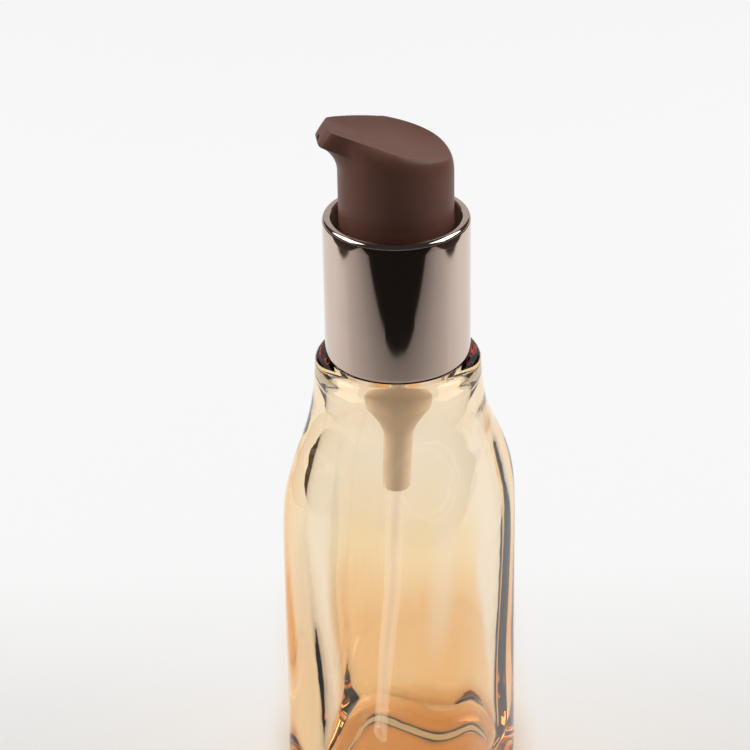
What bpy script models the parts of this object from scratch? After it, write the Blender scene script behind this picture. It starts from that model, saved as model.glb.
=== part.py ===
"""Glass pump oil bottle, as an assembly of its separate pieces.

Lengths are in millimetres and are turned into metres when a mesh is made. The origin is the centre of
the bottle's base and +Z is up. The bottle's four flat sides face +X, -X, +Y and -Y.
"""

import math

import bmesh
import bpy
from mathutils import Matrix, Vector

METRES = 0.001
GAP = 0.1  # between faces that rest on each other
SEGMENTS = 48  # round the large pieces
FINE_SEGMENTS = 32  # round the small pieces

# Bottle: a rounded square body that turns into a round neck.
COLLAR_BOTTOM = 97.0
LEDGE_Z = COLLAR_BOTTOM - 0.3
NECK_TOP = COLLAR_BOTTOM + 12.4
NECK_RADIUS = 10.8
NECK_BORE = 8.0
FLOOR_Z = 6.0
BODY_EXPONENT = 4.0  # of the superellipse |x|^n + |y|^n = w^n
INNER_EXPONENT = 3.4
ROUND_ABOVE = 91.0  # the outline is a circle above this height
SQUARE_BELOW = 69.0  # and has its full exponent below this one

# Screw thread between the neck and the closure.
PITCH = 3.175
THREAD_TURNS = 1.25
THREAD_START_Z = COLLAR_BOTTOM + 5.0
NECK_THREAD_CREST = 11.8
CLOSURE_THREAD_CREST = 11.15

# Metal collar and the closure inside it.
COLLAR_RADIUS = 13.5
COLLAR_HEIGHT = 27.9
COLLAR_TOP = COLLAR_BOTTOM + COLLAR_HEIGHT
COLLAR_WALL = 0.5
COLLAR_LIP_RADIUS = 11.8
CLOSURE_RADIUS = 12.85
CLOSURE_BORE = 12.05

# Pump stack, from the bottle's lip upwards.
GASKET_Z = NECK_TOP + GAP
FLANGE_Z = GASKET_Z + 1.0 + GAP
WEB_Z = FLANGE_Z + 1.2 + GAP
WEB_TOP = WEB_Z + 1.2
CUP_TOP = WEB_TOP + 0.9
TURRET_Z = CUP_TOP + GAP
TURRET_TOP = TURRET_Z + 1.0
NOSE_TOP = TURRET_TOP + 1.2
STROKE = 7.0

# Pump housing and what is in it.
HOUSING_RADIUS = 5.7
HOUSING_BOTTOM = COLLAR_BOTTOM - 29.0
SOCKET_RADIUS = 2.7
CHAMBER_RADIUS = 4.4
CHAMBER_FLOOR = COLLAR_BOTTOM - 10.2
STEM_RADIUS = 2.3
STEM_BORE = 1.2
STEM_TOP = COLLAR_BOTTOM + 32.0
PISTON_TOP = WEB_Z - 0.8
PISTON_BOTTOM = PISTON_TOP - 6.3
ROD_HEAD_Z = PISTON_BOTTOM - 1.5
BALL_RADIUS = 2.0
BALL_Z = 82.8
CAGE_Z = CHAMBER_FLOOR + 0.15
SPRING_Z = CAGE_Z + 1.3
SPRING_RADIUS = 3.45
SPRING_WIRE = 0.35
SPRING_TURNS = 7

# Dip tube.
TUBE_RADIUS = 2.0
TUBE_BORE = 1.25
TUBE_TOP = 79.6
TUBE_END_Z = COLLAR_BOTTOM - 89.4
TUBE_LEAN = 2.8  # how far its lower end stands off the axis, towards -X

# Pump head, in its own directions: u runs from the axis to the spout's tip, v across it.
HEAD_RADIUS = 10.5
HEAD_WALL = 1.2
SKIRT_BOTTOM = WEB_TOP + STROKE + 0.4
HEAD_CEILING = COLLAR_BOTTOM + 34.8
HEAD_POCKET_TOP = COLLAR_BOTTOM + 40.2
HEAD_POCKET_RADIUS = 2.7
SPOUT_AZIMUTH = math.radians(212)
TIP_TOP_Z = COLLAR_BOTTOM + 46.2
TIP_RIM_U = 12.3
RIM_FALL = 0.217  # how fast the rim falls from the tip, seen from the side
RIM_BEND = 0.0034  # how much faster it falls with each millimetre
DISH_DEPTH = 1.4
RIM_REAR = 9.5
RIM_FRONT = 16.6  # where the rim's two sides would meet, past the blunt tip
RIM_SIDE = 9.1
HEAD_SEGMENTS = 56
SPOUT_BORE = 0.65


# ---------------------------------------------------------------- mesh tools


def clear_scene():
    for obj in list(bpy.data.objects):
        bpy.data.objects.remove(obj)


def material(name, colour, roughness, metallic=0.0, transmission=0.0):
    made = bpy.data.materials.new(name)
    made.use_nodes = True
    shader = made.node_tree.nodes["Principled BSDF"]
    shader.inputs["Base Color"].default_value = (*colour, 1.0)
    shader.inputs["Roughness"].default_value = roughness
    shader.inputs["Metallic"].default_value = metallic
    shader.inputs["Transmission Weight"].default_value = transmission
    return made


def finished(name, bm, surface, smooth=True):
    """Turns a bmesh in millimetres into a named object in metres, with its faces pointing out."""
    bmesh.ops.remove_doubles(bm, verts=bm.verts, dist=0.001)
    bmesh.ops.recalc_face_normals(bm, faces=bm.faces)
    bm.transform(Matrix.Scale(METRES, 4))
    mesh = bpy.data.meshes.new(name)
    bm.to_mesh(mesh)
    bm.free()
    if surface:
        mesh.materials.append(surface)
    if smooth:
        mesh.shade_smooth()
        mesh.set_sharp_from_angle(angle=math.radians(35))
    obj = bpy.data.objects.new(name, mesh)
    bpy.context.collection.objects.link(obj)
    return obj


def turned(name, profile, surface, segments=FINE_SEGMENTS, closed=True):
    """Spins a profile of (radius, height) points round Z. A closed one makes a ring or a tube."""
    bm = bmesh.new()
    points = [bm.verts.new((radius, 0, height)) for radius, height in profile]
    pairs = list(zip(points, points[1:]))
    if closed:
        pairs.append((points[-1], points[0]))
    edges = [bm.edges.new(pair) for pair in pairs]
    bmesh.ops.spin(
        bm,
        geom=points + edges,
        cent=(0, 0, 0),
        axis=(0, 0, 1),
        angle=math.tau,
        steps=segments,
        use_merge=True,
    )
    return finished(name, bm, surface)


def lofted(name, rings, surface, closed=False):
    """Joins rings of equal length by quads. One point is a pole. A closed loft joins last to first."""
    bm = bmesh.new()
    loops = [[bm.verts.new(point) for point in ring] for ring in rings]
    pairs = list(zip(loops, loops[1:]))
    if closed:
        pairs.append((loops[-1], loops[0]))
    for low, high in pairs:
        count = max(len(low), len(high))
        for k in range(count):
            below = [low[k % len(low)], low[(k + 1) % len(low)]]
            above = [high[(k + 1) % len(high)], high[k % len(high)]]
            bm.faces.new(list(dict.fromkeys(below + above)))
    return finished(name, bm, surface)


def bezier(start, start_handle, end_handle, end, count):
    """Points of a cubic Bezier, without its first point."""
    found = []
    for k in range(1, count + 1):
        t = k / count
        s = 1 - t
        found.append(s**3 * start + 3 * s * s * t * start_handle + 3 * s * t * t * end_handle + t**3 * end)
    return found


def arc(centre, radius, start_degrees, end_degrees, count):
    """(radius, height) points of an arc, with both ends."""
    angles = [
        math.radians(start_degrees + (end_degrees - start_degrees) * k / count) for k in range(count + 1)
    ]
    return [(centre[0] + radius * math.cos(a), centre[1] + radius * math.sin(a)) for a in angles]


def smoothstep(t):
    t = min(1.0, max(0.0, t))
    return t * t * (3 - 2 * t)


def mix(a, b, t):
    return a + (b - a) * t


def cut(obj, cutter, operation="DIFFERENCE"):
    """Adds a Boolean with the exact solver and hides its other object."""
    boolean = obj.modifiers.new(operation.title(), "BOOLEAN")
    boolean.operation = operation
    boolean.solver = "EXACT"
    boolean.object = cutter
    cutter.hide_render = True
    cutter.display_type = "WIRE"


def drill(obj, start, end, radius, name, sides=12):
    """Cuts a round hole between two points."""
    start, end = Vector(start), Vector(end)
    bm = bmesh.new()
    bmesh.ops.create_cone(
        bm, cap_ends=True, segments=sides, radius1=radius, radius2=radius, depth=(end - start).length
    )
    turn = (end - start).to_track_quat("Z", "Y").to_matrix().to_4x4()
    bm.transform(Matrix.Translation((start + end) / 2) @ turn)
    cut(obj, finished(name, bm, None, smooth=False))


def helical_ridge(name, root, crest, start_z, turns, root_width, crest_width):
    """A thread's ridge that fades into its wall at both ends. Root and crest are radii."""
    steps = round(turns * 28)
    fade = 4  # steps over which each end rises
    rings = []
    for k in range(steps + 1):
        angle = math.tau * turns * k / steps
        height = smoothstep(min(k, steps - k) / fade)
        tip = mix(root + 0.25 * math.copysign(1, root - crest), crest, height)
        z = start_z + PITCH * angle / math.tau
        corners = [(root, -root_width), (tip, -crest_width), (tip, crest_width), (root, root_width)]
        rings.append(
            [Vector((r * math.cos(angle), r * math.sin(angle), z + half / 2)) for r, half in corners]
        )
    bm = bmesh.new()
    loops = [[bm.verts.new(point) for point in ring] for ring in rings]
    for low, high in zip(loops, loops[1:]):
        for k in range(4):
            bm.faces.new((low[k], low[(k + 1) % 4], high[(k + 1) % 4], high[k]))
    bm.faces.new(loops[0])
    bm.faces.new(reversed(loops[-1]))
    return finished(name, bm, None, smooth=False)


# ---------------------------------------------------------------- bottle

# Half-widths of the body at heights, outside and inside. Between them the wall is a smooth curve.
OUTER_WALL = [
    (2.55, 19.95),
    (5, 20.0),
    (27, 19.75),
    (47, 19.65),
    (59, 19.6),
    (67, 19.3),
    (72, 18.6),
    (77, 17.6),
    (81, 16.65),
    (85, 16.1),
    (89, 15.9),
    (94, 15.55),
]
INNER_WALL = [
    (12, 17.5),
    (27, 17.3),
    (47, 17.2),
    (59, 17.1),
    (66, 16.75),
    (71, 16.0),
    (76, 14.9),
    (80, 13.9),
    (84, 13.25),
    (88, 12.9),
    (91.5, 12.3),
    (93.8, 11.0),
    (95.3, 9.4),
    (97, 8.3),
    (99, NECK_BORE),
]


def wall_width(wall, z):
    """Half-width at a height, on a Catmull-Rom curve through the wall's points."""
    if z <= wall[0][0]:
        return wall[0][1]
    if z >= wall[-1][0]:
        return wall[-1][1]
    k = max(i for i in range(len(wall) - 1) if wall[i][0] <= z)
    (z0, w0), (z1, w1) = wall[k], wall[k + 1]
    before = wall[max(k - 1, 0)]
    after = wall[min(k + 2, len(wall) - 1)]
    slope0 = (w1 - before[1]) / (z1 - before[0])
    slope1 = (after[1] - w0) / (after[0] - z0)
    span = z1 - z0
    t = (z - z0) / span
    return (
        w0 * (2 * t**3 - 3 * t**2 + 1)
        + w1 * (3 * t**2 - 2 * t**3)
        + slope0 * span * (t**3 - 2 * t**2 + t)
        + slope1 * span * (t**3 - t**2)
    )


def body_ring(width, z, full_exponent):
    """A superellipse ring whose exponent falls from the body's to a circle's towards the neck."""
    square = smoothstep((ROUND_ABOVE - z) / (ROUND_ABOVE - SQUARE_BELOW))
    n = mix(2.0, full_exponent, square)
    ring = []
    for k in range(SEGMENTS):
        a = math.tau * k / SEGMENTS
        c, s = math.cos(a), math.sin(a)
        r = width / (abs(c) ** n + abs(s) ** n) ** (1 / n)
        ring.append(Vector((r * c, r * s, z)))
    return ring


def make_bottle(glass):
    heel = arc((17.4, 2.55), 2.55, -90, 0, 4)
    ledge_corner = arc((13.9, LEDGE_Z - 1.6), 1.6, 0, 90, 4)
    lip = arc((NECK_RADIUS - 0.6, NECK_TOP - 0.6), 0.6, 0, 90, 3)
    outer = [(11.5, 0.8), (13.0, 0.0), *heel]
    outer_heights = (8, 18, 30, 42, 52, 59, 63, 66, 69, 72, 75, 78, 81, 84, 88, 92)
    outer += [(wall_width(OUTER_WALL, z), z) for z in outer_heights]
    outer += [*ledge_corner, (NECK_RADIUS + 0.4, LEDGE_Z), (NECK_RADIUS, LEDGE_Z + 0.5), *lip]
    inner = [(NECK_BORE + 0.4, NECK_TOP), (NECK_BORE, NECK_TOP - 0.4)]
    depths = (99, 97.5, 96.3, 95.2, 94, 92.8, 91, 88, 85, 82, 79, 76, 73, 70, 67, 63, 58, 48, 36, 24, 14)
    inner += [(wall_width(INNER_WALL, z), z) for z in depths]
    inner += arc((12.0, FLOOR_Z + 5.5), 5.5, -8, -90, 5)
    rings = [[Vector((0, 0, 1.0))]]
    rings += [body_ring(width, z, BODY_EXPONENT) for width, z in outer]
    rings += [body_ring(width, z, INNER_EXPONENT) for width, z in inner]
    rings += [[Vector((0, 0, FLOOR_Z + 0.2))]]
    bottle = lofted("bottle", rings, glass)
    ridge = helical_ridge(
        "neck_thread_ridge", NECK_RADIUS - 0.5, NECK_THREAD_CREST, THREAD_START_Z, THREAD_TURNS, 1.9, 0.8
    )
    cut(bottle, ridge, "UNION")
    return bottle


# ---------------------------------------------------------------- collar and closure


def make_collar(metal):
    roll = 1.2
    centre = (COLLAR_RADIUS - roll, COLLAR_TOP - roll)
    inner_radius = COLLAR_RADIUS - COLLAR_WALL
    profile = [(inner_radius, COLLAR_BOTTOM), (COLLAR_RADIUS, COLLAR_BOTTOM)]
    profile += arc(centre, roll, 0, 90, 5)
    profile += arc((COLLAR_LIP_RADIUS + 0.4, COLLAR_TOP - 0.4), 0.4, 90, 180, 3)
    profile += [(COLLAR_LIP_RADIUS, COLLAR_TOP - 2.0), (COLLAR_LIP_RADIUS + COLLAR_WALL, COLLAR_TOP - 2.0)]
    profile += [(COLLAR_LIP_RADIUS + COLLAR_WALL, COLLAR_TOP - 0.7)]
    profile += arc(centre, roll - COLLAR_WALL, 60, 0, 2)
    return turned("collar_shell", profile, metal, SEGMENTS)


def make_closure(plastic):
    profile = [
        (CLOSURE_BORE, COLLAR_BOTTOM + 0.3),
        (CLOSURE_RADIUS, COLLAR_BOTTOM + 0.3),
        (CLOSURE_RADIUS, COLLAR_TOP - 2.3),
        (CLOSURE_BORE, COLLAR_TOP - 2.3),
        (CLOSURE_BORE, WEB_TOP),
        (7.7, WEB_TOP),
        (7.7, WEB_Z),
        (CLOSURE_BORE, WEB_Z),
    ]
    closure = turned("closure_cap", profile, plastic, SEGMENTS)
    start_z = THREAD_START_Z - PITCH / 2
    ridge = helical_ridge(
        "closure_thread_ridge", CLOSURE_BORE + 0.4, CLOSURE_THREAD_CREST, start_z, 1.1, 1.7, 0.8
    )
    cut(closure, ridge, "UNION")
    return closure


def make_gasket(foam):
    inner, outer = 6.0, NECK_RADIUS - 0.1
    low, high = GASKET_Z, GASKET_Z + 1.0
    return turned("neck_gasket", [(inner, low), (outer, low), (outer, high), (inner, high)], foam, SEGMENTS)


# ---------------------------------------------------------------- pump


def make_housing(plastic):
    profile = [
        (TUBE_RADIUS + GAP, HOUSING_BOTTOM),
        (SOCKET_RADIUS - 0.2, HOUSING_BOTTOM),
        (SOCKET_RADIUS, HOUSING_BOTTOM + 0.3),
        (SOCKET_RADIUS + 0.1, COLLAR_BOTTOM - 17.0),
        (SOCKET_RADIUS + 0.6, COLLAR_BOTTOM - 15.0),
        (HOUSING_RADIUS - 0.3, COLLAR_BOTTOM - 10.4),
        (HOUSING_RADIUS, COLLAR_BOTTOM - 9.6),
        (HOUSING_RADIUS, FLANGE_Z),
        (11.0, FLANGE_Z),
        (11.0, FLANGE_Z + 1.2),
        (7.4, FLANGE_Z + 1.2),
        (7.4, CUP_TOP),
        (6.2, CUP_TOP),
        (6.2, WEB_Z - 0.3),
        (CHAMBER_RADIUS, WEB_Z - 0.3),
        (CHAMBER_RADIUS, CHAMBER_FLOOR),
        (2.4, 85.0),
        (2.4, 82.2),
        (1.2, 81.0),
        (1.2, 79.8),
        (TUBE_RADIUS + GAP, 79.8),
    ]
    housing = turned("pump_housing", profile, plastic)
    vent_z = PISTON_TOP - 3.1
    drill(housing, (3.5, 0, vent_z), (7, 0, vent_z), 0.5, "vent_drill", sides=8)
    return housing


def make_turret(plastic):
    profile = [
        (2.5, WEB_Z + 1.2),
        (4.1, WEB_Z + 1.2),
        (4.1, WEB_Z - 0.2),
        (6.1, WEB_Z - 0.2),
        (6.1, TURRET_Z),
        (8.7, TURRET_Z),
        (8.7, TURRET_TOP - 0.3),
        (8.4, TURRET_TOP),
        (4.4, TURRET_TOP),
        (4.1, NOSE_TOP),
        (2.5, NOSE_TOP),
    ]
    return turned("turret", profile, plastic)


def make_wiper(rubber):
    low, high = WEB_Z - 0.1, WEB_Z + 1.1
    return turned("stem_wiper", [(2.4, low), (4.0, low), (4.0, high), (2.4, high)], rubber)


def make_stem(plastic):
    profile = [
        (STEM_BORE, PISTON_BOTTOM + 0.1),
        (STEM_RADIUS, PISTON_BOTTOM + 0.1),
        (STEM_RADIUS, STEM_TOP - 0.3),
        (STEM_RADIUS - 0.3, STEM_TOP),
        (STEM_BORE, STEM_TOP),
    ]
    stem = turned("stem", profile, plastic)
    port_z = PISTON_BOTTOM + 1.4
    drill(stem, (-4, 0, port_z), (4, 0, port_z), 0.5, "port_drill", sides=8)
    return stem


def make_piston(plastic):
    outer, waist, inner = CHAMBER_RADIUS - GAP, CHAMBER_RADIUS - 0.7, STEM_RADIUS + GAP
    profile = [
        (inner, PISTON_BOTTOM),
        (3.1, PISTON_BOTTOM),
        (3.4, PISTON_BOTTOM + 1.2),
        (outer - 0.2, PISTON_BOTTOM + 0.6),
        (outer, PISTON_BOTTOM + 1.0),
        (waist, PISTON_BOTTOM + 2.4),
        (waist, PISTON_TOP - 1.8),
        (outer, PISTON_TOP - 0.4),
        (outer - 0.2, PISTON_TOP),
        (3.3, PISTON_TOP - 1.0),
        (inner, PISTON_TOP - 1.0),
    ]
    return turned("piston", profile, plastic)


def make_rod(plastic):
    profile = [
        (0, ROD_HEAD_Z - 4.8),
        (1.9, ROD_HEAD_Z - 4.8),
        (2.4, ROD_HEAD_Z - 4.0),
        (2.4, ROD_HEAD_Z),
        (3.9, ROD_HEAD_Z),
        (3.9, ROD_HEAD_Z + 0.6),
        (3.0, ROD_HEAD_Z + 1.4),
        (1.1, ROD_HEAD_Z + 1.4),
        (1.1, PISTON_TOP + 0.6),
        (0.8, PISTON_TOP + 1.2),
        (0, PISTON_TOP + 1.2),
    ]
    return turned("piston_rod", profile, plastic, closed=False)


def make_spring(steel):
    """A coil whose end turns are closed and lie flat."""
    bottom, top = SPRING_Z + SPRING_WIRE + 0.05, ROD_HEAD_Z - SPRING_WIRE - 0.05
    per_turn = 14
    steps = SPRING_TURNS * per_turn
    closed = 2 * SPRING_WIRE / (top - bottom)
    rings = []
    for k in range(steps + 1):
        turn = k / per_turn
        angle = math.tau * turn
        if turn < 1:
            rise = closed * turn
        elif turn > SPRING_TURNS - 1:
            rise = 1 - closed * (SPRING_TURNS - turn)
        else:
            rise = mix(closed, 1 - closed, (turn - 1) / (SPRING_TURNS - 2))
        outward = Vector((math.cos(angle), math.sin(angle), 0))
        centre = SPRING_RADIUS * outward + Vector((0, 0, mix(bottom, top, rise)))
        ring = []
        for side in range(6):
            a = math.tau * side / 6
            ring.append(centre + SPRING_WIRE * (math.cos(a) * outward + math.sin(a) * Vector((0, 0, 1))))
        rings.append(ring)
    rings = [[sum(rings[0], Vector()) / 6], *rings, [sum(rings[-1], Vector()) / 6]]
    return lofted("return_spring", rings, steel)


def make_cage(plastic):
    profile = [
        (1.3, CAGE_Z),
        (CHAMBER_RADIUS - GAP, CAGE_Z),
        (CHAMBER_RADIUS - GAP, SPRING_Z),
        (2.8, SPRING_Z),
        (2.5, SPRING_Z + 1.2),
        (1.3, SPRING_Z + 1.2),
    ]
    return turned("ball_cage", profile, plastic)


def make_ball(steel):
    bm = bmesh.new()
    bmesh.ops.create_uvsphere(bm, u_segments=20, v_segments=12, radius=BALL_RADIUS)
    bm.transform(Matrix.Translation((0, 0, BALL_Z)))
    return finished("inlet_ball", bm, steel)


def make_tube(plastic):
    """A tube that hangs straight from its socket and then leans, with a slanted lower end."""
    sides = 20
    slant = 1.3

    def ring(radius, z):
        free = max(0.0, (HOUSING_BOTTOM - z) / (HOUSING_BOTTOM - TUBE_END_Z))
        centre = Vector((-TUBE_LEAN * free**1.4, 0, z))
        slope = slant if z <= TUBE_END_Z + slant else 0.0
        points = []
        for k in range(sides):
            a = math.tau * k / sides
            across = radius * math.cos(a)
            points.append(centre + Vector((across, radius * math.sin(a), -slope * across / TUBE_RADIUS)))
        return points

    heights = [TUBE_TOP, HOUSING_BOTTOM, 56, 44, 32, 20, TUBE_END_Z + slant + 2, TUBE_END_Z + slant]
    rings = [ring(TUBE_RADIUS, z) for z in heights] + [ring(TUBE_BORE, z) for z in reversed(heights)]
    return lofted("dip_tube", rings, plastic, closed=True)


# ---------------------------------------------------------------- head


def rim_height(u):
    """Height of the rim, and of the dish's own ridge, at a distance along the spout."""
    behind = TIP_RIM_U - u
    return TIP_TOP_Z - RIM_FALL * behind - RIM_BEND * behind**2


def rim_radius(phi):
    """The leaf-shaped rim seen from above: an ellipse behind the axis, a blunt point before it."""
    c, s = math.cos(phi), abs(math.sin(phi))
    front = smoothstep((c + 0.25) / 0.5)
    power = mix(2.5, 1.2, front)
    reach = mix(RIM_REAR, RIM_FRONT, front)
    radius = ((abs(c) / reach) ** power + (s / RIM_SIDE) ** power) ** (-1 / power)
    if c > 0:
        limit = TIP_RIM_U / c
        radius = (radius**-24 + limit**-24) ** (-1 / 24)
    return radius


def head_meridian(phi, fillet_steps, shoulder_steps):
    """One upright line of the head's outside, from the top of its plain wall to its rim."""
    out = Vector((math.cos(phi), math.sin(phi), 0))
    up = Vector((0, 0, 1))
    beak = 1 - smoothstep((abs(phi) - math.radians(10)) / math.radians(38))
    tip = 1 - smoothstep((abs(phi) - math.radians(9)) / math.radians(30))
    rim = rim_radius(phi)
    rim_z = rim_height(rim * math.cos(phi))
    reach = rim + mix(0.6, 1.8, tip)
    lip = HEAD_RADIUS + math.log1p(math.exp(4 * (reach - HEAD_RADIUS))) / 4 * beak
    lip_z = rim_z - mix(3.7, 2.8, tip)
    wall_z = lip_z - mix(1.5, 6.7, beak)
    rim_point = out * rim + up * rim_z
    lip_point = out * lip + up * lip_z
    wall_point = out * HEAD_RADIUS + up * wall_z
    fillet = bezier(
        wall_point,
        wall_point + up * mix(0.5, 3.2, beak),
        lip_point - out * 0.42 * (lip - HEAD_RADIUS) - up * mix(0.5, 0.7, beak),
        lip_point,
        fillet_steps,
    )
    inward = mix(0.55, 0.34, tip) * (lip - rim)
    shoulder = bezier(
        lip_point,
        lip_point - out * 0.4 * tip + up * mix(2.1, 0.9, tip),
        rim_point + out * inward - up * mix(0.35, 0.85, tip),
        rim_point,
        shoulder_steps,
    )
    return [wall_point, *fillet, *shoulder]


def head_angles():
    """Angles from the spout's direction, closer together towards the spout."""
    even = [math.tau * k / HEAD_SEGMENTS - math.pi for k in range(HEAD_SEGMENTS)]
    return [t - 0.55 * math.sin(t) for t in even]


def head_circle(radius, z):
    return [Vector((radius * math.cos(phi), radius * math.sin(phi), z)) for phi in head_angles()]


def head_outside():
    """Rings from the bottom of the skirt to the centre of the dish."""
    meridians = [head_meridian(phi, 4, 5) for phi in head_angles()]
    wall = [head_circle(HEAD_RADIUS - 0.3, SKIRT_BOTTOM), head_circle(HEAD_RADIUS, SKIRT_BOTTOM + 0.3)]
    rings = [[line[k] for line in meridians] for k in range(len(meridians[0]))]
    dish = []
    for share in (0.92, 0.78, 0.5):
        ring = []
        for phi in head_angles():
            u = share * rim_radius(phi) * math.cos(phi)
            v = share * rim_radius(phi) * math.sin(phi)
            ring.append(Vector((u, v, rim_height(u) - DISH_DEPTH * (1 - share**3))))
        dish.append(ring)
    return [*wall, *rings, *dish, [Vector((0, 0, rim_height(0) - DISH_DEPTH))]]


def make_head_cover(plastic):
    inner = HEAD_RADIUS - HEAD_WALL
    rings = [
        [Vector((0, 0, HEAD_POCKET_TOP))],
        head_circle(HEAD_POCKET_RADIUS, HEAD_POCKET_TOP),
        head_circle(HEAD_POCKET_RADIUS, HEAD_CEILING),
        head_circle(inner, HEAD_CEILING),
        head_circle(inner, SKIRT_BOTTOM),
        *head_outside(),
    ]
    turn = Matrix.Rotation(SPOUT_AZIMUTH, 3, "Z")
    cover = lofted("head_cover", [[turn @ point for point in ring] for ring in rings], plastic)
    along = Vector((math.cos(SPOUT_AZIMUTH), math.sin(SPOUT_AZIMUTH), 0))
    start = along + Vector((0, 0, HEAD_POCKET_TOP - 0.9))
    end = 16 * along + Vector((0, 0, HEAD_POCKET_TOP + 4.6))
    drill(cover, start, end, SPOUT_BORE, "spout_drill")
    return cover


def make_head_core(plastic):
    chimney_bottom = NOSE_TOP + STROKE + 0.4
    channel = STEM_BORE + 0.1
    profile = [
        (STEM_RADIUS + GAP, chimney_bottom),
        (3.9, chimney_bottom),
        (3.9, HEAD_CEILING - 1.6),
        (HEAD_RADIUS - HEAD_WALL - GAP, HEAD_CEILING - 1.6),
        (HEAD_RADIUS - HEAD_WALL - GAP, HEAD_CEILING - 0.2),
        (HEAD_POCKET_RADIUS - 0.2, HEAD_CEILING - 0.2),
        (HEAD_POCKET_RADIUS - 0.2, HEAD_POCKET_TOP - 2.0),
        (channel, HEAD_POCKET_TOP - 2.0),
        (channel, STEM_TOP + GAP),
        (STEM_RADIUS + GAP, STEM_TOP + GAP),
    ]
    return turned("head_core", profile, plastic)


def main():
    clear_scene()
    glass = material("amber_glass", (0.86, 0.62, 0.33), 0.03, transmission=1.0)
    metal = material("rose_metal", (0.55, 0.45, 0.41), 0.08, metallic=1.0)
    brown = material("brown_plastic", (0.13, 0.055, 0.04), 0.45)
    natural = material("natural_plastic", (0.80, 0.76, 0.70), 0.4)
    clear = material("tube_plastic", (0.85, 0.80, 0.74), 0.3)
    foam = material("gasket_foam", (0.85, 0.85, 0.83), 0.8)
    rubber = material("wiper_rubber", (0.75, 0.73, 0.70), 0.6)
    steel = material("spring_steel", (0.62, 0.62, 0.64), 0.25, metallic=1.0)
    make_bottle(glass)
    make_collar(metal)
    make_closure(natural)
    make_gasket(foam)
    make_housing(natural)
    make_turret(natural)
    make_wiper(rubber)
    make_stem(natural)
    make_piston(natural)
    make_rod(natural)
    make_spring(steel)
    make_cage(natural)
    make_ball(steel)
    make_tube(clear)
    make_head_cover(brown)
    make_head_core(natural)


main()
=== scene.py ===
"""The looks of the glass pump oil bottle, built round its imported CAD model.

Shapes are written in millimetres, and their places come from the CAD nodes' boxes. The bottle's flat
sides face +X, -X, +Y and -Y, and +Z is up.
"""

import math

import bmesh
import bpy
from mathutils import Matrix, Vector, noise


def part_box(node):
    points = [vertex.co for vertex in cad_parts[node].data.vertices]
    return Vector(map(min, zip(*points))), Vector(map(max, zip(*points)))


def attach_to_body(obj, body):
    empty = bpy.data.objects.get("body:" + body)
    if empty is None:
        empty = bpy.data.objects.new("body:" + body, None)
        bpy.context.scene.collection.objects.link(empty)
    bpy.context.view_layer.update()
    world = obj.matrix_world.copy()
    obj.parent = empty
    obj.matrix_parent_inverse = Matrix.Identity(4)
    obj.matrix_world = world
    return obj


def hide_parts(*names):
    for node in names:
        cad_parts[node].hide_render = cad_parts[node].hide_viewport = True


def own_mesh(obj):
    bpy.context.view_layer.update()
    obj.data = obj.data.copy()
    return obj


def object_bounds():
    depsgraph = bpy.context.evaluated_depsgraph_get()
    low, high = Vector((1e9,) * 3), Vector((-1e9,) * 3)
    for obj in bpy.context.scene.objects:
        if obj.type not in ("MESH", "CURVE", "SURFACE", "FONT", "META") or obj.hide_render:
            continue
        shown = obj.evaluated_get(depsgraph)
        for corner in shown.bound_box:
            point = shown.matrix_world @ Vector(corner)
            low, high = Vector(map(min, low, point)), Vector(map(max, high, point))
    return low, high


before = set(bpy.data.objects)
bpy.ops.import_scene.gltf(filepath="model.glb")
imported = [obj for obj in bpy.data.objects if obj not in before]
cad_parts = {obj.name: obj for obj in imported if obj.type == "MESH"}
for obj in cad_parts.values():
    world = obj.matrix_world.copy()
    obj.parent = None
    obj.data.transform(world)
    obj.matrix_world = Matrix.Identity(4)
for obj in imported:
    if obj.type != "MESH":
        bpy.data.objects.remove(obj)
CAD_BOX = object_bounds()

MM = 0.001


def box_mm(node):
    low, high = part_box(node)
    return low / MM, high / MM


# Heights and radii that the shapes below hang from, all in millimetres.
COLLAR_LOW, COLLAR_HIGH = box_mm("collar_shell")
COLLAR_BOTTOM = COLLAR_LOW.z
COLLAR_TOP = COLLAR_HIGH.z
COLLAR_RADIUS = COLLAR_HIGH.x
NECK_TOP = box_mm("bottle")[1].z
HEAD_LOW, HEAD_HIGH = box_mm("head_cover")
SKIRT_BOTTOM = HEAD_LOW.z
HEAD_RADIUS = HEAD_HIGH.y
SPRING_LOW, SPRING_HIGH = box_mm("return_spring")
TUBE_LOW, TUBE_HIGH = box_mm("dip_tube")
HOUSING_LOW, HOUSING_HIGH = box_mm("pump_housing")


# ---------------------------------------------------------------- mesh tools


def smoothstep(t):
    t = min(1.0, max(0.0, t))
    return t * t * (3 - 2 * t)


def mix(a, b, t):
    return a + (b - a) * t


def arc(centre, radius, start_degrees, end_degrees, count):
    """(radius, height) points of an arc, with both ends."""
    angles = [math.radians(mix(start_degrees, end_degrees, k / count)) for k in range(count + 1)]
    return [(centre[0] + radius * math.cos(a), centre[1] + radius * math.sin(a)) for a in angles]


def bezier(start, start_handle, end_handle, end, count):
    """Points of a cubic Bezier, without its first point."""
    found = []
    for k in range(1, count + 1):
        t = k / count
        s = 1 - t
        found.append(s**3 * start + 3 * s * s * t * start_handle + 3 * s * t * t * end_handle + t**3 * end)
    return found


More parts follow.
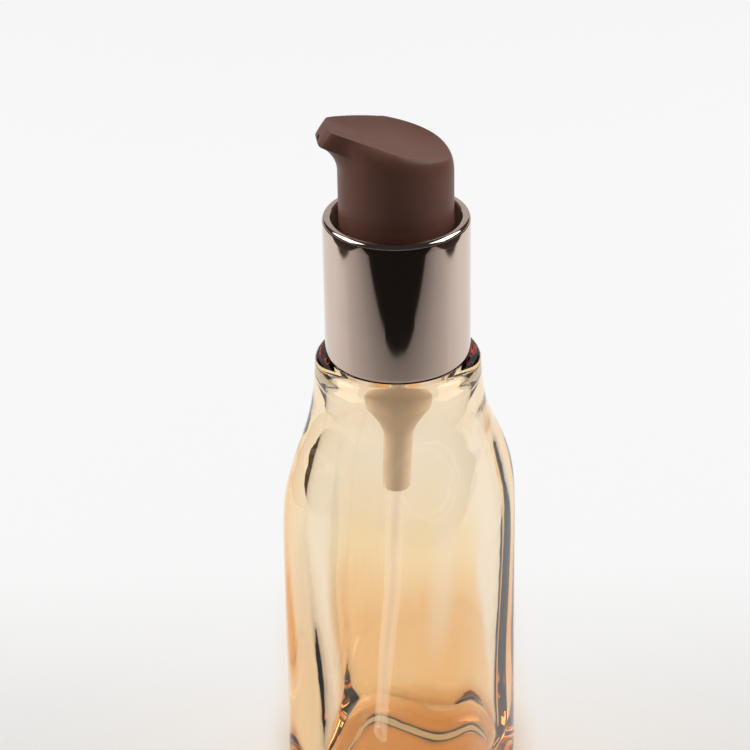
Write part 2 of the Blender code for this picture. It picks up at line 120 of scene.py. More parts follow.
def lofted(name, rings, surface, closed=False, sharp_degrees=40):
    """Joins rings of points by quads, turns them into metres and makes a smooth object of them."""
    bm = bmesh.new()
    loops = [[bm.verts.new(point * MM) for point in ring] for ring in rings]
    pairs = list(zip(loops, loops[1:]))
    if closed:
        pairs.append((loops[-1], loops[0]))
    for low, high in pairs:
        for k in range(max(len(low), len(high))):
            after = k + 1
            quad = [
                low[k % len(low)],
                low[after % len(low)],
                high[after % len(high)],
                high[k % len(high)],
            ]
            bm.faces.new(list(dict.fromkeys(quad)))
    bmesh.ops.recalc_face_normals(bm, faces=bm.faces)
    mesh = bpy.data.meshes.new(name)
    bm.to_mesh(mesh)
    bm.free()
    mesh.materials.append(surface)
    mesh.shade_smooth()
    mesh.set_sharp_from_angle(angle=math.radians(sharp_degrees))
    obj = bpy.data.objects.new(name, mesh)
    bpy.context.scene.collection.objects.link(obj)
    return obj


def circle(radius, z, segments):
    angles = [math.tau * k / segments for k in range(segments)]
    return [Vector((radius * math.cos(a), radius * math.sin(a), z)) for a in angles]


def turned(name, profile, surface, segments=96, closed=True):
    """A ring or a solid of revolution. A profile point at radius 0 is a pole."""
    rings = [circle(r, z, segments) if r > 0 else [Vector((0, 0, z))] for r, z in profile]
    return lofted(name, rings, surface, closed)


def attach(piece, body, nodes):
    """Hangs a piece on the body it rides on and hides the CAD nodes that it stands for."""
    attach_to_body(piece, body)
    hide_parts(*nodes)
    return piece


# ---------------------------------------------------------------- materials


def new_material(name):
    made = bpy.data.materials.new(name)
    made.use_nodes = True
    tree = made.node_tree
    return made, tree, tree.nodes["Principled BSDF"]


def noise_node(tree, scale, detail=3.0, roughness=0.5):
    """Noise over the object's own coordinates, in metres."""
    place = tree.nodes.new("ShaderNodeTexCoord")
    found = tree.nodes.new("ShaderNodeTexNoise")
    found.inputs["Scale"].default_value = scale
    found.inputs["Detail"].default_value = detail
    found.inputs["Roughness"].default_value = roughness
    tree.links.new(place.outputs["Object"], found.inputs["Vector"])
    return found


def ramp_node(tree, source, stops):
    ramp = tree.nodes.new("ShaderNodeValToRGB")
    while len(ramp.color_ramp.elements) < len(stops):
        ramp.color_ramp.elements.new(0.5)
    for element, (place, colour) in zip(ramp.color_ramp.elements, stops):
        element.position = place
        element.color = (*colour, 1.0)
    tree.links.new(source, ramp.inputs["Fac"])
    return ramp


def multiplied(tree, first, second, share=None):
    """The first colour times the second, by the share that a node gives or in full."""
    product = tree.nodes.new("ShaderNodeMix")
    product.data_type = "RGBA"
    product.blend_type = "MULTIPLY"
    product.inputs["Factor"].default_value = 1.0
    if share:
        tree.links.new(share, product.inputs["Factor"])
    tree.links.new(first, product.inputs["A"])
    tree.links.new(second, product.inputs["B"])
    return product.outputs["Result"]


def bump_node(tree, source, strength, distance):
    bump = tree.nodes.new("ShaderNodeBump")
    bump.inputs["Strength"].default_value = strength
    bump.inputs["Distance"].default_value = distance
    tree.links.new(source, bump.inputs["Height"])
    return bump


def glass_material():
    """Clear amber glass: the tint is taken up inside the wall, so that it deepens with thickness."""
    made, tree, shader = new_material("amber_glass")
    shader.inputs["Base Color"].default_value = (1.0, 1.0, 1.0, 1.0)
    shader.inputs["Roughness"].default_value = 0.0
    shader.inputs["IOR"].default_value = 1.46
    shader.inputs["Transmission Weight"].default_value = 1.0
    output = tree.nodes["Material Output"]
    absorb = tree.nodes.new("ShaderNodeVolumeAbsorption")
    absorb.inputs["Color"].default_value = (0.975, 0.73, 0.31, 1.0)
    absorb.inputs["Density"].default_value = 105.0
    tree.links.new(absorb.outputs["Volume"], output.inputs["Volume"])
    waves = noise_node(tree, 160.0, 2.0)
    bump = bump_node(tree, waves.outputs["Fac"], 0.15, 0.0002)
    tree.links.new(bump.outputs["Normal"], shader.inputs["Normal"])
    lamp_light = tree.nodes.new("ShaderNodeBsdfTransparent")
    lamp_light.inputs["Color"].default_value = (0.99, 0.97, 0.94, 1.0)
    path = tree.nodes.new("ShaderNodeLightPath")
    blend = tree.nodes.new("ShaderNodeMixShader")
    tree.links.new(path.outputs["Is Shadow Ray"], blend.inputs["Fac"])
    tree.links.new(shader.outputs["BSDF"], blend.inputs[1])
    tree.links.new(lamp_light.outputs["BSDF"], blend.inputs[2])
    tree.links.new(blend.outputs["Shader"], output.inputs["Surface"])
    return made


def metal_material():
    """Mirror-bright rose-grey metal with faint polishing unevenness."""
    made, tree, shader = new_material("rose_metal")
    shader.inputs["Metallic"].default_value = 1.0
    patches = noise_node(tree, 90.0, 4.0)
    tone = ramp_node(tree, patches.outputs["Fac"], [(0.3, (0.62, 0.49, 0.42)), (0.7, (0.66, 0.52, 0.445))])
    tree.links.new(tone.outputs["Color"], shader.inputs["Base Color"])
    gloss = tree.nodes.new("ShaderNodeMapRange")
    gloss.inputs["To Min"].default_value = 0.035
    gloss.inputs["To Max"].default_value = 0.06
    tree.links.new(noise_node(tree, 400.0).outputs["Fac"], gloss.inputs["Value"])
    tree.links.new(gloss.outputs["Result"], shader.inputs["Roughness"])
    return made


def soft_plastic_material(name, dark, light, low_gloss, high_gloss, grain=0.02):
    """A satin surface with a fine grain, in millimetres: moulded plastic, foam, rubber or drawn steel.

    The gloss values are roughnesses.
    """
    made, tree, shader = new_material(name)
    tone = ramp_node(tree, noise_node(tree, 120.0, 4.0).outputs["Fac"], [(0.3, dark), (0.7, light)])
    tree.links.new(tone.outputs["Color"], shader.inputs["Base Color"])
    fine = noise_node(tree, 6000.0, 2.0)
    gloss = tree.nodes.new("ShaderNodeMapRange")
    gloss.inputs["To Min"].default_value = low_gloss
    gloss.inputs["To Max"].default_value = high_gloss
    tree.links.new(fine.outputs["Fac"], gloss.inputs["Value"])
    tree.links.new(gloss.outputs["Result"], shader.inputs["Roughness"])
    bump = bump_node(tree, fine.outputs["Fac"], 0.3, grain * MM)
    tree.links.new(bump.outputs["Normal"], shader.inputs["Normal"])
    return made


# ---------------------------------------------------------------- bottle

BODY_EXPONENT = 4.0  # of the superellipse |x|^n + |y|^n = w^n
INNER_EXPONENT = 3.4
ROUND_ABOVE = COLLAR_BOTTOM - 6
SQUARE_BELOW = COLLAR_BOTTOM - 28
NECK_RADIUS = 10.8
NECK_BORE = 8.0
FLOOR_Z = 6.0  # of the glass inside
LEDGE_Z = COLLAR_BOTTOM - 0.3  # where the shoulder ends at the neck

# Half-widths of the body at heights above the base, outside and inside.
OUTER_WALL = [
    (2.55, 19.95),
    (5, 19.96),
    (27, 19.75),
    (47, 19.65),
    (59, 19.6),
    (67, 19.3),
    (72, 18.6),
    (77, 17.6),
    (81, 16.65),
    (85, 16.1),
    (89, 15.9),
    (94, 15.55),
]
INNER_WALL = [
    (12, 17.5),
    (27, 17.3),
    (47, 17.2),
    (59, 17.1),
    (66, 16.75),
    (71, 16.0),
    (76, 14.9),
    (80, 13.9),
    (84, 13.25),
    (88, 12.9),
    (91.5, 12.3),
    (93.8, 11.0),
    (95.3, 9.4),
    (97, 8.3),
    (99, NECK_BORE),
]


def wall_width(wall, z):
    """Half-width at a height, on a Catmull-Rom curve through the wall's points."""
    if z <= wall[0][0]:
        return wall[0][1]
    if z >= wall[-1][0]:
        return wall[-1][1]
    k = max(i for i in range(len(wall) - 1) if wall[i][0] <= z)
    (z0, w0), (z1, w1) = wall[k], wall[k + 1]
    before = wall[max(k - 1, 0)]
    after = wall[min(k + 2, len(wall) - 1)]
    slope0 = (w1 - before[1]) / (z1 - before[0])
    slope1 = (after[1] - w0) / (after[0] - z0)
    span = z1 - z0
    t = (z - z0) / span
    return (
        w0 * (2 * t**3 - 3 * t**2 + 1)
        + w1 * (3 * t**2 - 2 * t**3)
        + slope0 * span * (t**3 - 2 * t**2 + t)
        + slope1 * span * (t**3 - t**2)
    )


def body_ring(width, z, full_exponent, segments=192, wobble=0.0):
    """A superellipse ring whose exponent falls from the body's to a circle's towards the neck."""
    square = smoothstep((ROUND_ABOVE - z) / (ROUND_ABOVE - SQUARE_BELOW))
    n = mix(2.0, full_exponent, square)
    ring = []
    for k in range(segments):
        a = math.tau * k / segments
        c, s = math.cos(a), math.sin(a)
        r = width / (abs(c) ** n + abs(s) ** n) ** (1 / n)
        if wobble:
            r += wobble * noise.noise(Vector((r * c / 9, r * s / 9, z / 16)))
        ring.append(Vector((r * c, r * s, z)))
    return ring


def spaced(low, high, step):
    count = max(1, round(abs(high - low) / step))
    return [mix(low, high, k / count) for k in range(count + 1)]


def make_bottle(glass):
    """One hollow skin of glass: the outside from the base up, over the mouth, and the inside down again."""
    outer = [(4, 0.95), (8, 0.9), (11.5, 0.75), (12.4, 0.3), (13.0, 0.0)]
    outer += arc((17.4, 2.55), 2.55, -90, 0, 12)
    outer += [(wall_width(OUTER_WALL, z), z) for z in spaced(3.5, 94, 1.0)]
    outer += arc((13.9, LEDGE_Z - 1.6), 1.6, 0, 90, 10)
    outer += [(12.5, LEDGE_Z), (NECK_RADIUS + 0.5, LEDGE_Z), (NECK_RADIUS, LEDGE_Z + 0.6)]
    outer += [(NECK_RADIUS, z) for z in spaced(LEDGE_Z + 2, NECK_TOP - 1.2, 1.0)]
    outer += arc((NECK_RADIUS - 0.6, NECK_TOP - 0.6), 0.6, 0, 90, 6)
    inner = [(NECK_BORE + 0.4, NECK_TOP), (NECK_BORE + 0.1, NECK_TOP - 0.15), (NECK_BORE, NECK_TOP - 0.5)]
    inner += [(NECK_BORE, z) for z in spaced(NECK_TOP - 1.5, 100, 1.5)]
    inner += [(wall_width(INNER_WALL, z), z) for z in spaced(99, 13, 0.6)]
    inner += arc((12.0, FLOOR_Z + 5.5), 5.5, -2, -90, 16)
    inner += [(8, FLOOR_Z + 0.05), (4, FLOOR_Z + 0.15)]
    rings = [[Vector((0, 0, 1.0))]]
    rings += [body_ring(width, z, BODY_EXPONENT) for width, z in outer]
    for width, z in inner:
        wobble = 0.12 * smoothstep((98 - z) / 10) + 0.45 * smoothstep((26 - z) / 14)
        exponent = mix(2.4, INNER_EXPONENT, smoothstep((z - 25) / 40))
        rings.append(body_ring(width, z, exponent, wobble=wobble))
    rings += [[Vector((0, 0, FLOOR_Z + 0.2))]]
    bottle = lofted("glass_bottle", rings, glass, sharp_degrees=60)
    return attach(bottle, "bottle", ["bottle"])


# ---------------------------------------------------------------- collar


def make_collar(metal):
    """The bright shell round the closure, rolled over at the top."""
    roll = 1.0
    wall = 0.5
    lip = 11.8
    centre = (COLLAR_RADIUS - roll, COLLAR_TOP - roll)
    profile = [(COLLAR_RADIUS - wall, COLLAR_BOTTOM)]
    profile += arc((COLLAR_RADIUS - 0.15, COLLAR_BOTTOM + 0.15), 0.15, -90, 0, 4)
    profile += [(COLLAR_RADIUS, z) for z in spaced(COLLAR_BOTTOM + 1, COLLAR_TOP - 2.2, 4)]
    profile += arc(centre, roll, 0, 90, 16)
    profile += arc((lip + 0.7, COLLAR_TOP - 0.7), 0.7, 90, 180, 10)[1:]
    profile += [(lip, COLLAR_TOP - 2.0), (lip + wall, COLLAR_TOP - 2.0), (lip + wall, COLLAR_TOP - 0.7)]
    profile += arc(centre, roll - wall, 60, 0, 5)
    collar = turned("metal_collar", profile, metal, segments=160)
    return attach(collar, "closure", ["collar_shell"])


# ---------------------------------------------------------------- head

SPOUT_AZIMUTH = math.radians(212)
TIP_TOP_Z = COLLAR_BOTTOM + 46.19
TIP_RIM_U = 12.3
RIM_FALL = 0.217  # how fast the rim falls from the tip, seen from the side
RIM_BEND = 0.0034  # how much faster it falls with each millimetre
DISH_DEPTH = 1.4
RIM_REAR = 9.5
RIM_FRONT = 16.6  # where the rim's two sides would meet, past the blunt tip
RIM_SIDE = 9.1
HEAD_WALL = 1.2
HEAD_POCKET_RADIUS = 2.7
SPOUT_HOLE_RADIUS = 0.45


def rim_height(u):
    behind = TIP_RIM_U - u
    return TIP_TOP_Z - RIM_FALL * behind - RIM_BEND * behind**2


def rim_radius(phi):
    """The leaf-shaped rim seen from above: an ellipse behind the axis, a blunt point before it."""
    c, s = math.cos(phi), abs(math.sin(phi))
    front = smoothstep((c + 0.25) / 0.5)
    power = mix(2.5, 1.2, front)
    reach = mix(RIM_REAR, RIM_FRONT, front)
    radius = ((abs(c) / reach) ** power + (s / RIM_SIDE) ** power) ** (-1 / power)
    if c > 0:
        limit = TIP_RIM_U / c
        radius = (radius**-24 + limit**-24) ** (-1 / 24)
    return radius


def head_meridian(phi, fillet_steps, shoulder_steps):
    """One upright line of the head's outside, from the top of its plain wall to its rim."""
    out = Vector((math.cos(phi), math.sin(phi), 0))
    up = Vector((0, 0, 1))
    beak = 1 - smoothstep((abs(phi) - math.radians(10)) / math.radians(38))
    tip = 1 - smoothstep((abs(phi) - math.radians(9)) / math.radians(30))
    rim = rim_radius(phi)
    rim_z = rim_height(rim * math.cos(phi))
    reach = rim + mix(0.6, 1.8, tip)
    lip = HEAD_RADIUS + math.log1p(math.exp(4 * (reach - HEAD_RADIUS))) / 4 * beak
    lip_z = rim_z - mix(3.7, 2.8, tip)
    wall_z = lip_z - mix(1.5, 6.7, beak)
    rim_point = out * rim + up * rim_z
    lip_point = out * lip + up * lip_z
    wall_point = out * HEAD_RADIUS + up * wall_z
    fillet = bezier(
        wall_point,
        wall_point + up * mix(0.5, 3.2, beak),
        lip_point - out * 0.42 * (lip - HEAD_RADIUS) - up * mix(0.5, 0.7, beak),
        lip_point,
        fillet_steps,
    )
    inward = mix(0.55, 0.34, tip) * (lip - rim)
    shoulder = bezier(
        lip_point,
        lip_point - out * 0.4 * tip + up * mix(2.1, 0.9, tip),
        rim_point + out * inward - up * mix(0.35, 0.85, tip),
        rim_point,
        shoulder_steps,
    )
    return [wall_point, *fillet, *shoulder]


def drill(obj, start, end, radius):
    """Cuts a round hole between two points."""
    axis = end - start
    bm = bmesh.new()
    bmesh.ops.create_cone(
        bm, cap_ends=True, segments=32, radius1=radius, radius2=radius, depth=axis.length
    )
    mesh = bpy.data.meshes.new("drill")
    bm.to_mesh(mesh)
    bm.free()
    turn = axis.to_track_quat("Z", "Y").to_matrix().to_4x4()
    mesh.transform(Matrix.Scale(MM, 4) @ Matrix.Translation((start + end) / 2) @ turn)
    cutter = bpy.data.objects.new("drill", mesh)
    bpy.context.scene.collection.objects.link(cutter)
    cut = obj.modifiers.new("drill", "BOOLEAN")
    cut.operation = "DIFFERENCE"
    cut.solver = "EXACT"
    cut.object = cutter
    graph = bpy.context.evaluated_depsgraph_get()
    cut_mesh = bpy.data.meshes.new_from_object(obj.evaluated_get(graph))
    obj.modifiers.clear()
    obj.data = cut_mesh
    bpy.data.objects.remove(cutter)


def make_head(plastic):
    """The pump head: a hollow skirt, a pocket for the core, the beak and the dished top."""
    count = 240
    inner = HEAD_RADIUS - HEAD_WALL
    ceiling = COLLAR_BOTTOM + 34.8
    pocket_top = COLLAR_BOTTOM + 40.2
    even = [math.tau * k / count - math.pi for k in range(count)]
    angles = [t - 0.55 * math.sin(t) for t in even]
    meridians = [head_meridian(phi, 24, 24) for phi in angles]
    rings = [[Vector((0, 0, pocket_top))]]
    inside = [
        (HEAD_POCKET_RADIUS, pocket_top),
        (HEAD_POCKET_RADIUS, ceiling),
        (inner, ceiling),
        (inner, SKIRT_BOTTOM + 0.2),
        (inner + 0.2, SKIRT_BOTTOM),
    ]
    for r, z in inside:
        rings.append([Vector((r * math.cos(a), r * math.sin(a), z)) for a in angles])
    for r, z in arc((HEAD_RADIUS - 0.3, SKIRT_BOTTOM + 0.3), 0.3, -90, 0, 4):
        rings.append([Vector((r * math.cos(a), r * math.sin(a), z)) for a in angles])
    lowest = min(line[0].z for line in meridians) - 0.5
    for z in spaced(SKIRT_BOTTOM + 1.5, lowest, 1.5):
        rings.append([Vector((HEAD_RADIUS * math.cos(a), HEAD_RADIUS * math.sin(a), z)) for a in angles])
    rings += [[line[k] for line in meridians] for k in range(len(meridians[0]))]
    steps = 20
    for k in range(1, steps):
        share = 1 - k / steps
        ring = []
        for phi in angles:
            u = share * rim_radius(phi) * math.cos(phi)
            v = share * rim_radius(phi) * math.sin(phi)
            ring.append(Vector((u, v, rim_height(u) - DISH_DEPTH * (1 - share**3))))
        rings.append(ring)
    rings.append([Vector((0, 0, rim_height(0) - DISH_DEPTH))])
    turn = Matrix.Rotation(SPOUT_AZIMUTH, 3, "Z")
    rings = [[turn @ point for point in ring] for ring in rings]
    head = lofted("pump_head", rings, plastic, sharp_degrees=50)
    along = turn @ Vector((1, 0, 0))
    bore_start = along + Vector((0, 0, pocket_top - 0.9))
    bore_end = 16 * along + Vector((0, 0, pocket_top + 4.6))
    drill(head, bore_start, bore_end, SPOUT_HOLE_RADIUS)
    return attach(head, "actuator", ["head_cover"])


# ---------------------------------------------------------------- pump under the collar


def make_housing(plastic):
    """The pump's chamber, from the tube's socket up to the flange that sits on the neck."""
    low = HOUSING_LOW.z
    profile = [(2.1, low + 0.1), (2.2, low), (2.4, low)]
    profile += arc((2.4, low + 0.3), 0.3, -90, 0, 4)
    profile += [(2.78, low + 8), (2.8, COLLAR_BOTTOM - 17.2)]
    profile += [(2.9, COLLAR_BOTTOM - 16.2), (3.25, COLLAR_BOTTOM - 15.1)]
    profile += [(5.35, COLLAR_BOTTOM - 10.6), (5.6, COLLAR_BOTTOM - 10.1), (5.7, COLLAR_BOTTOM - 9.5)]
    top = HOUSING_HIGH.z
    flange = NECK_TOP + 1.2
    profile += [(5.7, flange), (11.0, flange), (11.0, flange + 1.2)]
    profile += [(7.4, flange + 1.2), (7.4, top), (6.2, top)]
    profile += [(6.2, top - 2.4), (4.4, top - 2.4), (4.4, COLLAR_BOTTOM - 10.2), (2.4, 85.0), (2.4, 82.2)]
    profile += [(1.2, 81.0), (1.2, 79.8), (2.1, 79.8)]
    housing = turned("pump_chamber", profile, plastic)
    return attach(housing, "pump_body", ["pump_housing"])


def make_tube(plastic):
    """The dip tube, which hangs straight from its socket and then leans, with a slanted lower end."""
    sides = 48
    tube_radius, tube_bore = 2.0, 1.25
    slant = 1.3
    lean = -(TUBE_LOW.x + tube_radius)
    end_z = TUBE_LOW.z + slant
    free_top = HOUSING_LOW.z

    def ring(radius, z, slope):
        free = max(0.0, (free_top - z) / (free_top - end_z))
        centre = Vector((-lean * free**1.4, 0, z))
        points = []
        for k in range(sides):
            a = math.tau * k / sides
            across = radius * math.cos(a)
            points.append(centre + Vector((across, radius * math.sin(a), -slope * across / tube_radius)))
        return points

    heights = spaced(TUBE_HIGH.z, end_z + 1.5, 2.0)
    rings = [ring(tube_radius, z, 0.0) for z in heights]
    rings += [ring(tube_radius, end_z, slant), ring(tube_bore, end_z, slant)]
    rings += [ring(tube_bore, z, 0.0) for z in reversed(heights)]
    tube = lofted("suction_tube", rings, plastic, closed=True)
    return attach(tube, "pump_body", ["dip_tube"])


def make_spring(steel):
    """A coil whose end turns are closed and lie flat."""
    wire = 0.35
    radius = 3.45
    turns = 7
    bottom, top = SPRING_LOW.z + wire, SPRING_HIGH.z - wire
    per_turn = 40
    closed = 2 * wire / (top - bottom)
    rings = []
    for k in range(turns * per_turn + 1):
        turn = k / per_turn
        angle = math.tau * turn
        if turn < 1:
            rise = closed * turn
        elif turn > turns - 1:
            rise = 1 - closed * (turns - turn)
        else:
            rise = mix(closed, 1 - closed, (turn - 1) / (turns - 2))
        outward = Vector((math.cos(angle), math.sin(angle), 0))
        centre = radius * outward + Vector((0, 0, mix(bottom, top, rise)))
        ring = []
        for side in range(12):
            a = math.tau * side / 12
            ring.append(centre + wire * (math.cos(a) * outward + math.sin(a) * Vector((0, 0, 1))))
        rings.append(ring)
    rings = [[sum(rings[0], Vector()) / 12], *rings, [sum(rings[-1], Vector()) / 12]]
    spring = lofted("coil_spring", rings, steel)
    attach(spring, "pump_body", ["return_spring"])
    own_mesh(spring)
    return spring


# ---------------------------------------------------------------- studio


def area_light(name, place, aim, size, power, colour=(1, 1, 1)):
    data = bpy.data.lights.new(name, "AREA")
    data.shape = "RECTANGLE"
    data.size, data.size_y = size
    data.energy = power
    data.color = colour
    light = bpy.data.objects.new(name, data)
    light.location = place
    light.rotation_euler = (Vector(aim) - Vector(place)).to_track_quat("-Z", "Y").to_euler()
    light.visible_camera = False
    bpy.context.scene.collection.objects.link(light)
    return light


FLOOR_GLOW = 0.655
CARD_CURVE = 0.56  # how much nearer the card's dark starts away from its middle, per square metre
# The amber pool of light and shadow that the bottle throws on the table, painted into the floor's colour
# and glow: where it runs, in metres, and its tint from front to back.
POOL_INNER, POOL_OUTER = 0.015, 0.029
POOL_FRONT, POOL_BACK = -0.03, 0.13
PAINTED_AMBER_POOL = [
    (0.03, (1.0, 1.0, 1.0)),
    (0.12, (0.60, 0.30, 0.07)),
    (0.27, (0.62, 0.33, 0.08)),
    (0.34, (1.0, 0.73, 0.43)),
    (0.55, (0.98, 0.70, 0.42)),
    (0.69, (1.0, 0.90, 0.68)),
    (0.83, (1.0, 0.96, 0.85)),
    (1.0, (1.0, 1.0, 1.0)),
]

CAMERA_AZIMUTH = math.radians(25)
CAMERA_PITCH = math.radians(28.87)
CAMERA_ROLL = math.radians(1.0)
CAMERA_DISTANCE = 485.3
CAMERA_SIDE = -4.34
CAMERA_DROP = -5.28
FOCAL_PIXELS = 2600
IMAGE_SIDE = 750


def make_camera():
    ahead = Vector((-math.sin(CAMERA_AZIMUTH), math.cos(CAMERA_AZIMUTH), 0))
    right = Vector((math.cos(CAMERA_AZIMUTH), math.sin(CAMERA_AZIMUTH), 0))
    up = Vector((0, 0, 1))
    forward = ahead * math.cos(CAMERA_PITCH) - up * math.sin(CAMERA_PITCH)
    upward = ahead * math.sin(CAMERA_PITCH) + up * math.cos(CAMERA_PITCH)
    level, tilt = math.cos(CAMERA_ROLL), math.sin(CAMERA_ROLL)
    x_axis = right * level - upward * tilt
    y_axis = right * tilt + upward * level
    aim = right * CAMERA_SIDE + up * (COLLAR_BOTTOM + CAMERA_DROP)
    place = (aim - forward * CAMERA_DISTANCE) * MM
    data = bpy.data.cameras.new("camera")
    data.sensor_width = 36
    data.lens = 36 * FOCAL_PIXELS / IMAGE_SIDE
    data.clip_start = 0.01
    camera = bpy.data.objects.new("camera", data)
    rotation = Matrix((x_axis, y_axis, -forward)).transposed()
    camera.matrix_world = Matrix.Translation(place) @ rotation.to_4x4()
    bpy.context.scene.collection.objects.link(camera)
    bpy.context.scene.camera = camera


def in_view(right_m, ahead_m, up_m):
    """A place given from where the camera stands: to its right, away from it and up, in metres."""
    a = CAMERA_AZIMUTH
    return Vector(
        (
            right_m * math.cos(a) - ahead_m * math.sin(a),
            right_m * math.sin(a) + ahead_m * math.cos(a),
            up_m,
        )
    )


def make_floor():
    """A pale table without an edge. It gives off part of its own brightness so that it stays even, carries
    painted shade that dims it a little towards the front, and holds a painted pool of the amber light and
    shadow that falls through the bottle away from the camera.
    """
    made, tree, shader = new_material("pale_floor")
    spots = noise_node(tree, 3.0, 2.0)
    tone = ramp_node(tree, spots.outputs["Fac"], [(0.3, (0.435, 0.44, 0.44)), (0.7, (0.45, 0.45, 0.445))])
    place = tree.nodes.new("ShaderNodeTexCoord")
    parts = tree.nodes.new("ShaderNodeSeparateXYZ")
    tree.links.new(place.outputs["Object"], parts.inputs["Vector"])
    ahead = tree.nodes.new("ShaderNodeMapRange")
    ahead.inputs["From Min"].default_value = -0.05
    ahead.inputs["From Max"].default_value = 0.25
    tree.links.new(parts.outputs["Y"], ahead.inputs["Value"])
    # Painted shade: the floor's colour and glow are darker towards the front, where the table's light falls
    # off.
    depth = ramp_node(
        tree,
        ahead.outputs["Result"],
        [
            (0.0, (0.74, 0.725, 0.715)),
            (0.25, (0.855, 0.85, 0.845)),
            (0.42, (0.95, 0.95, 0.95)),
            (1.0, (0.965, 0.965, 0.965)),
        ],
    )
    across = tree.nodes.new("ShaderNodeMath")
    across.operation = "ABSOLUTE"
    tree.links.new(parts.outputs["X"], across.inputs[0])
    inside = tree.nodes.new("ShaderNodeMapRange")
    inside.interpolation_type = "SMOOTHSTEP"
    inside.inputs["From Min"].default_value = POOL_OUTER
    inside.inputs["From Max"].default_value = POOL_INNER
    tree.links.new(across.outputs["Value"], inside.inputs["Value"])
    along = tree.nodes.new("ShaderNodeMapRange")
    along.inputs["From Min"].default_value = POOL_FRONT
    along.inputs["From Max"].default_value = POOL_BACK
    tree.links.new(parts.outputs["Y"], along.inputs["Value"])
    # Painted light and shadow: the amber pool behind the bottle tints both the floor's colour and its glow.
    amber = ramp_node(tree, along.outputs["Result"], PAINTED_AMBER_POOL)
    tint = multiplied(tree, depth.outputs["Color"], amber.outputs["Color"], inside.outputs["Result"])
    tree.links.new(multiplied(tree, tone.outputs["Color"], tint), shader.inputs["Base Color"])
    tree.links.new(tint, shader.inputs["Emission Color"])
    shader.inputs["Roughness"].default_value = 0.8
    shader.inputs["Specular IOR Level"].default_value = 0.2
    shader.inputs["Emission Strength"].default_value = FLOOR_GLOW
    bm = bmesh.new()
    bmesh.ops.create_circle(bm, cap_ends=True, segments=96, radius=12.0)
    mesh = bpy.data.meshes.new("floor")
    bm.to_mesh(mesh)
    bm.free()
    mesh.materials.append(made)
    floor = bpy.data.objects.new("floor", mesh)
    floor.location.z = CAD_BOX[0].z - 0.0002
    floor.rotation_euler.z = CAMERA_AZIMUTH
    bpy.context.scene.collection.objects.link(floor)


def make_shade_card(name, corners, stops, colour):
    """A dark sheet of painted shade laid on the table, which only shows in reflections and through glass: it
    stands for shade where the table's light falls off. It thickens along its own -Y as the stops say, sooner
    towards its sides.
    """
    made, tree, shader = new_material(name)
    shader.inputs["Base Color"].default_value = (*colour, 1.0)
    shader.inputs["Roughness"].default_value = 1.0
    shader.inputs["Specular IOR Level"].default_value = 0.0
    place = tree.nodes.new("ShaderNodeTexCoord")
    parts = tree.nodes.new("ShaderNodeSeparateXYZ")
    span = tree.nodes.new("ShaderNodeMapRange")
    span.inputs["From Min"].default_value = 0.0
    span.inputs["From Max"].default_value = -0.25
    tree.links.new(place.outputs["Object"], parts.inputs["Vector"])
    curve = tree.nodes.new("ShaderNodeMath")
    curve.operation = "MULTIPLY"
    tree.links.new(parts.outputs["X"], curve.inputs[0])
    tree.links.new(parts.outputs["X"], curve.inputs[1])
    bend = tree.nodes.new("ShaderNodeMath")
    bend.operation = "MULTIPLY_ADD"
    bend.inputs[1].default_value = -CARD_CURVE
    tree.links.new(curve.outputs["Value"], bend.inputs[0])
    tree.links.new(parts.outputs["Y"], bend.inputs[2])
    tree.links.new(bend.outputs["Value"], span.inputs["Value"])
    cover = ramp_node(tree, span.outputs["Result"], [(at, (share, share, share)) for at, share in stops])
    clear = tree.nodes.new("ShaderNodeBsdfTransparent")
    blend = tree.nodes.new("ShaderNodeMixShader")
    tree.links.new(cover.outputs["Color"], blend.inputs["Fac"])
    tree.links.new(clear.outputs["BSDF"], blend.inputs[1])
    tree.links.new(shader.outputs["BSDF"], blend.inputs[2])
    tree.links.new(blend.outputs["Shader"], tree.nodes["Material Output"].inputs["Surface"])
    mesh = bpy.data.meshes.new(name)
    mesh.from_pydata([(x, y, 0) for x, y in corners], [], [list(range(len(corners)))])
    mesh.materials.append(made)
    card = bpy.data.objects.new(name, mesh)
    card.location.z = CAD_BOX[0].z + 0.001
    card.rotation_euler.z = CAMERA_AZIMUTH
    card.visible_camera = False
    card.visible_shadow = False
    bpy.context.scene.collection.objects.link(card)
    return card


def make_world():
    """A dim room: pale only where the camera looks straight at it, past the floor's rim."""
    world = bpy.data.worlds.new("studio")
    bpy.context.scene.world = world
    world.use_nodes = True
    tree = world.node_tree
    room = tree.nodes["Background"]
    place = tree.nodes.new("ShaderNodeTexCoord")
    parts = tree.nodes.new("ShaderNodeSeparateXYZ")
    tree.links.new(place.outputs["Generated"], parts.inputs["Vector"])
    walls = ramp_node(tree, parts.outputs["Z"], [(0.0, (0.075, 0.068, 0.062)), (0.5, (0.042, 0.044, 0.047))])
    tree.links.new(walls.outputs["Color"], room.inputs["Color"])
    pale = tree.nodes.new("ShaderNodeBackground")
    pale.inputs["Color"].default_value = (0.90, 0.91, 0.91, 1.0)
    path = tree.nodes.new("ShaderNodeLightPath")
    blend = tree.nodes.new("ShaderNodeMixShader")
    tree.links.new(path.outputs["Is Camera Ray"], blend.inputs["Fac"])
    tree.links.new(room.outputs["Background"], blend.inputs[1])
    tree.links.new(pale.outputs["Background"], blend.inputs[2])
    tree.links.new(blend.outputs["Shader"], tree.nodes["World Output"].inputs["Surface"])


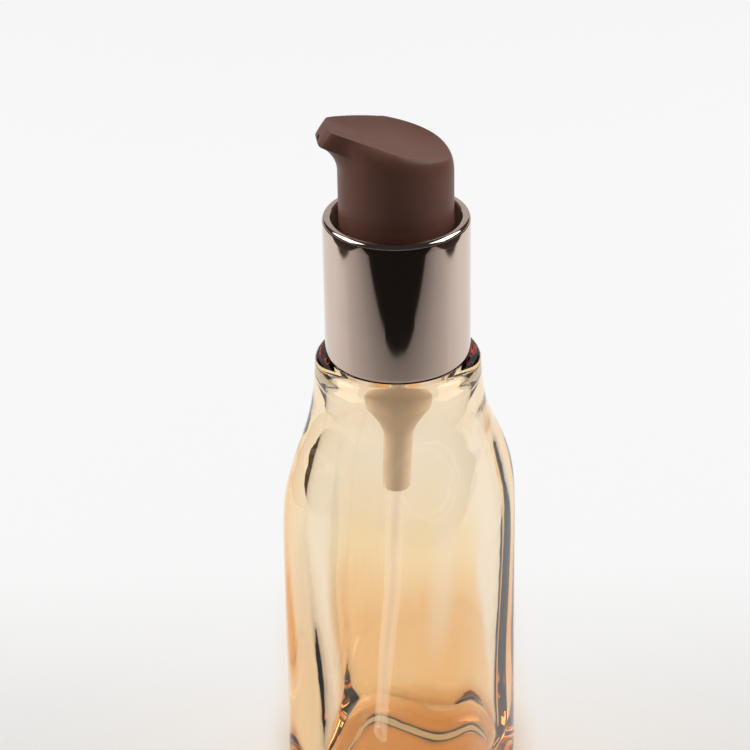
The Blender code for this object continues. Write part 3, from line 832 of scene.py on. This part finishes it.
def make_studio():
    make_world()
    aim = (0, 0, 0.1)
    area_light("softbox_left", in_view(-0.78, 0.07, 0.74), aim, (0.76, 0.6), 5.6)
    area_light("softbox_right", in_view(0.78, 0.07, 0.74), aim, (0.76, 0.6), 5.6)
    area_light("sweep_behind", in_view(0.0, 1.3, 0.80), aim, (2.0, 1.25), 4.2)
    # Painted shade seen in reflections: the front card for the table's light falling off towards the camera,
    # the middle one for a shadow in front, the brown ones for the dim sides.
    side, reach, back = 0.252, 1.5, 0.6
    fall_off = [(0.16, 0.0), (0.40, 0.18), (0.60, 0.38), (0.76, 0.60), (0.81, 0.70), (0.83, 1.0)]
    front = [(-side, -reach), (side, -reach), (side, 0.0), (-side, 0.0)]
    near_black = (0.022, 0.019, 0.018)
    make_shade_card("dark_front", front, fall_off, near_black)
    solid = [(0.0, 0.97), (1.0, 1.0)]
    brown = (0.045, 0.026, 0.022)
    bay = [(-0.076, -reach), (0.098, -reach), (0.092, -0.1945), (0.012, -0.2000), (-0.070, -0.1960)]
    make_shade_card("dark_middle", bay, solid, near_black).location.z += MM
    make_shade_card("dark_left", [(-reach, -reach), (-side, -reach), (-side, back), (-reach, back)], solid, brown)
    make_shade_card("dark_right", [(side, -reach), (reach, -reach), (reach, back), (side, back)], solid, brown)
    bpy.context.scene.view_settings.view_transform = "Standard"


def main():
    glass = glass_material()
    metal = metal_material()
    brown = soft_plastic_material("brown_plastic", (0.195, 0.080, 0.054), (0.215, 0.090, 0.062), 0.42, 0.50)
    brown.node_tree.nodes["Principled BSDF"].inputs["Specular IOR Level"].default_value = 0.4
    natural = soft_plastic_material("natural_plastic", (0.88, 0.77, 0.64), (0.92, 0.81, 0.68), 0.35, 0.45)
    milky = soft_plastic_material("tube_plastic", (0.88, 0.84, 0.81), (0.94, 0.90, 0.87), 0.25, 0.35)
    milky_shader = milky.node_tree.nodes["Principled BSDF"]
    milky_shader.inputs["Alpha"].default_value = 0.14
    # Painted light: the tube glows warm so that it looks lit through the glass.
    milky_shader.inputs["Emission Color"].default_value = (1.0, 0.83, 0.70, 1.0)
    milky_shader.inputs["Emission Strength"].default_value = 0.30
    chamber = soft_plastic_material("chamber_plastic", (0.92, 0.82, 0.70), (0.95, 0.85, 0.73), 0.40, 0.50)
    chamber_shader = chamber.node_tree.nodes["Principled BSDF"]
    # Painted light: the chamber glows warm so that it looks lit through the glass.
    chamber_shader.inputs["Emission Color"].default_value = (1.0, 0.78, 0.60, 1.0)
    chamber_shader.inputs["Emission Strength"].default_value = 0.13
    foam = soft_plastic_material("gasket_foam", (0.80, 0.80, 0.78), (0.86, 0.86, 0.84), 0.8, 0.9)
    rubber = soft_plastic_material("wiper_rubber", (0.70, 0.68, 0.65), (0.76, 0.74, 0.71), 0.5, 0.6)
    steel = soft_plastic_material(
        "spring_steel", (0.60, 0.60, 0.62), (0.66, 0.66, 0.68), 0.18, 0.28, grain=0.005
    )
    steel.node_tree.nodes["Principled BSDF"].inputs["Metallic"].default_value = 1.0
    make_camera()
    make_bottle(glass)
    make_collar(metal)
    make_head(brown)
    make_housing(chamber)
    make_tube(milky)
    make_spring(steel)
    kept = {
        "closure_cap": natural,
        "turret": natural,
        "stem": natural,
        "piston": natural,
        "piston_rod": natural,
        "ball_cage": natural,
        "head_core": natural,
        "inlet_ball": steel,
        "neck_gasket": foam,
        "stem_wiper": rubber,
    }
    for node, surface in kept.items():
        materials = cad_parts[node].data.materials
        materials.clear()
        materials.append(surface)
    make_floor()
    make_studio()


main()
